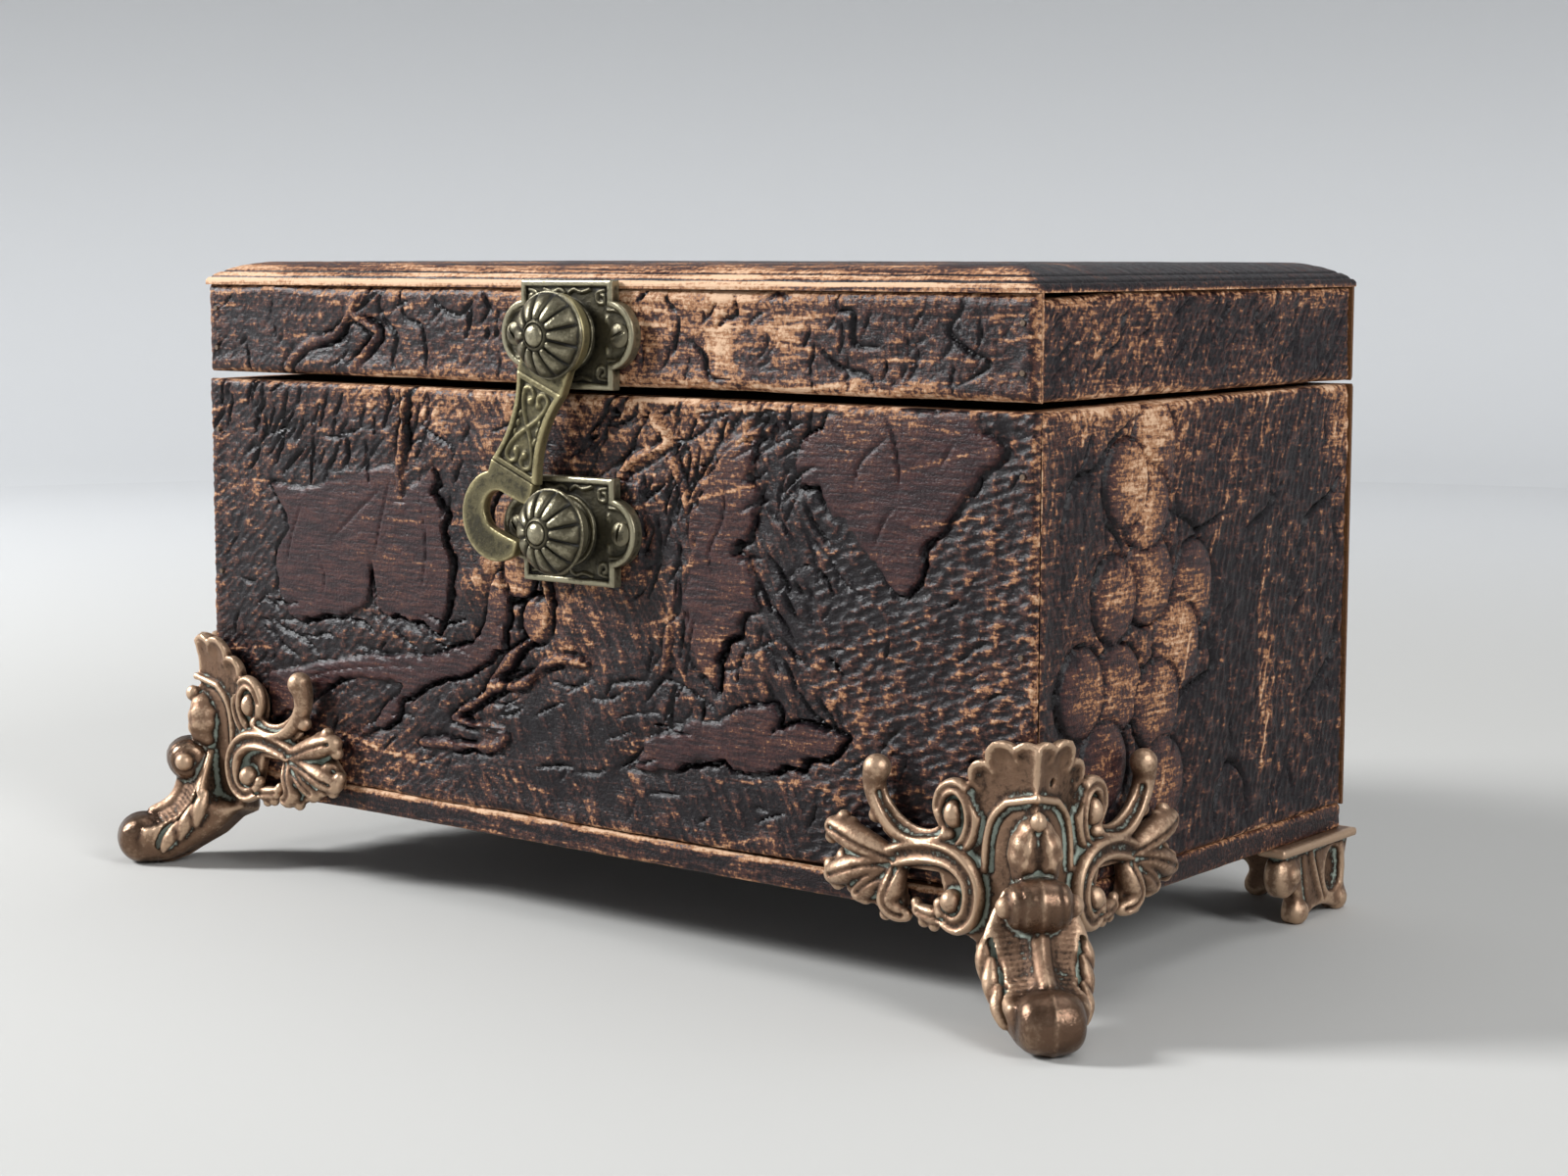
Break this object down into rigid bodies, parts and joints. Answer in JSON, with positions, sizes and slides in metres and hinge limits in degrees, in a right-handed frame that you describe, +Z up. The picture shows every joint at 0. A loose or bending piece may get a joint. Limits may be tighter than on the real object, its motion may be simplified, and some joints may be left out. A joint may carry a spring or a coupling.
{
  "type": "carved wooden box",
  "caption": "Small wooden keepsake box with burnt and carved vine panels, hinged moulded lid, swinging brass hook latch and cast scrolled corner feet.",
  "frame": {"origin": "centre of the plan box at floor level, under the feet", "axes": "+X to the right along the front, +Y towards the hinges, +Z up"},
  "size_m": [0.2942, 0.1586, 0.1553],
  "materials": {
    "burnt_wood": "burnt, stained and waxed softwood, worn to bare wood on raised edges",
    "nail_steel": "darkened wire nails",
    "latch_brass": "cast brass with an olive-brown patina, bright on raised edges",
    "screw_brass": "tarnished slotted brass screws",
    "screw_steel": "darkened steel screws",
    "cast_bronze": "bronzed casting, copper brown with green-grey hollows",
    "hinge_brass": "tarnished rolled brass"
  },
  "bodies": {
    "case": {"front_board": "burnt_wood", "back_board": "burnt_wood", "left_board": "burnt_wood", "right_board": "burnt_wood", "bottom_board": "burnt_wood", "corner_brads": "nail_steel", "bottom_brads": "nail_steel", "lower_plate": "latch_brass", "lower_knob": "latch_brass", "lower_post": "latch_brass", "lower_washer": "latch_brass", "lower_plate_screws": "screw_brass", "front_left_foot": "cast_bronze", "front_right_foot": "cast_bronze", "rear_left_foot": "cast_bronze", "rear_right_foot": "cast_bronze", "front_foot_screws": "screw_steel", "rear_foot_screws": "screw_steel", "left_hinge_case_leaf": "hinge_brass", "right_hinge_case_leaf": "hinge_brass", "left_hinge_pin": "hinge_brass", "right_hinge_pin": "hinge_brass", "hinge_case_screws": "screw_steel"},
    "lid": {"lid_top": "burnt_wood", "lid_front_rim": "burnt_wood", "lid_back_rim": "burnt_wood", "lid_left_rim": "burnt_wood", "lid_right_rim": "burnt_wood", "lid_corner_brads": "nail_steel", "lid_top_brads": "nail_steel", "upper_plate": "latch_brass", "upper_knob": "latch_brass", "upper_post": "latch_brass", "upper_washer": "latch_brass", "upper_plate_screws": "screw_brass", "left_hinge_lid_leaf": "hinge_brass", "right_hinge_lid_leaf": "hinge_brass", "hinge_lid_screws": "screw_steel"},
    "hook": {"hook_arm": "latch_brass"}
  },
  "joints": [
    {"name": "lid_hinge", "type": "hinge", "parent": "case", "child": "lid", "pos_m": [0, 0.07537, 0.1271], "axis": [-1, 0, 0], "range_deg": [0, 100]},
    {"name": "hook_swing", "type": "hinge", "parent": "lid", "child": "hook", "pos_m": [0.0015, -0.06518, 0.1391], "axis": [0, -1, 0], "range_deg": [-150, 24]}
  ]
}
